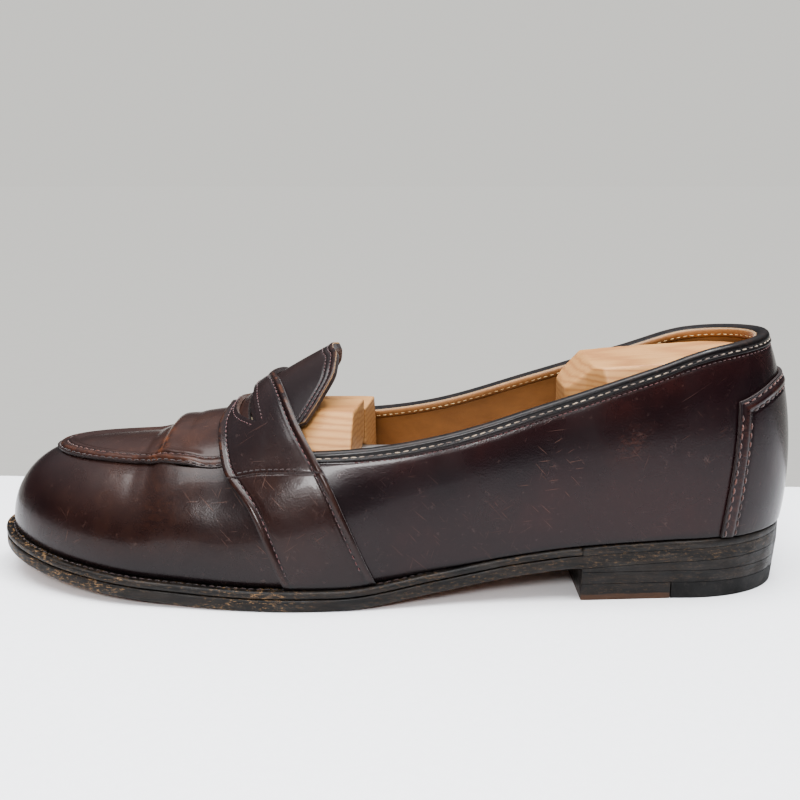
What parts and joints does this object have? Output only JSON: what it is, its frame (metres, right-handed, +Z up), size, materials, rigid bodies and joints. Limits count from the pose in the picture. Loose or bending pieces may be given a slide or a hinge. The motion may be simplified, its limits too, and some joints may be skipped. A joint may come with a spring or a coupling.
{
  "type": "penny loafer",
  "caption": "Welted slip-on shoe for a left foot with a slotted saddle strap, low heel and stitched apron, fitted with a sprung two-part wooden shoe tree.",
  "frame": {"origin": "middle of the footprint's box, on the floor that the heel and the ball of the sole stand on", "axes": "+X runs from the toe to the heel, +Y towards the inner side of the foot, +Z up"},
  "size_m": [0.3046, 0.103, 0.0962],
  "materials": {
    "cordovan": "dark oxblood shell cordovan, glossy, lightly scratched",
    "lining_leather": "tan glove leather lining, soft satin",
    "canvas": "plain undyed cotton drill",
    "fibre_board": "dense brown fibre board, matt",
    "sole_edge": "black-dressed sole leather, scuffed to tan along its edges",
    "tread_leather": "brown worn sole leather",
    "rubber": "hard black heel rubber, matt",
    "cork": "ground cork filling",
    "steel": "plain drawn steel",
    "brass": "dull brass nails",
    "cedar": "raw sanded cedar, fine straight grain"
  },
  "bodies": {
    "shoe": {"outsole": "sole_edge", "welt": "sole_edge", "heel_rand": "sole_edge", "insole_rib": "canvas", "cork_filler": "cork", "heel_seat_filler": "fibre_board", "shank": "steel", "insole": "fibre_board", "sock_liner": "lining_leather", "heel_lift_upper": "sole_edge", "heel_lift_lower": "sole_edge", "top_lift_leather": "tread_leather", "top_lift_rubber": "rubber", "heel_nail_1": "brass", "heel_nail_2": "brass", "heel_nail_3": "brass", "heel_nail_4": "brass", "heel_nail_5": "brass", "heel_nail_6": "brass", "vamp": "cordovan", "apron_plug": "cordovan", "tongue": "cordovan", "tongue_lining": "lining_leather", "vamp_lining": "canvas", "toe_puff": "fibre_board", "quarter_outer": "cordovan", "quarter_inner": "cordovan", "counter_cover": "cordovan", "heel_stiffener": "fibre_board", "quarter_lining": "lining_leather", "collar_binding": "cordovan", "saddle_strap": "cordovan", "tree_toe_inner": "cedar", "tree_tube": "steel", "tree_tube_pin": "steel", "tree_guide_pin_rear": "steel", "tree_guide_pin_front": "steel", "tree_main_spring": "steel", "tree_spread_spring_rear": "steel", "tree_spread_spring_front": "steel"},
    "tree_heel": {"tree_heel_block": "cedar", "tree_rod": "steel", "tree_heel_pin": "steel"},
    "tree_toe_half": {"tree_toe_outer": "cedar"}
  },
  "joints": [
    {"name": "tree_compress", "type": "slide", "parent": "shoe", "child": "tree_heel", "axis": [-1, 0, 0], "range_m": [0, 0.018], "stiffness_N_per_m": 1500, "springref_m": -0.008, "deforming": ["tree_main_spring"]},
    {"name": "tree_toe_squeeze", "type": "slide", "parent": "shoe", "child": "tree_toe_half", "axis": [0, 1, 0], "range_m": [0, 0.0024], "stiffness_N_per_m": 2000, "springref_m": -0.003, "deforming": ["tree_spread_spring_rear", "tree_spread_spring_front"]}
  ]
}
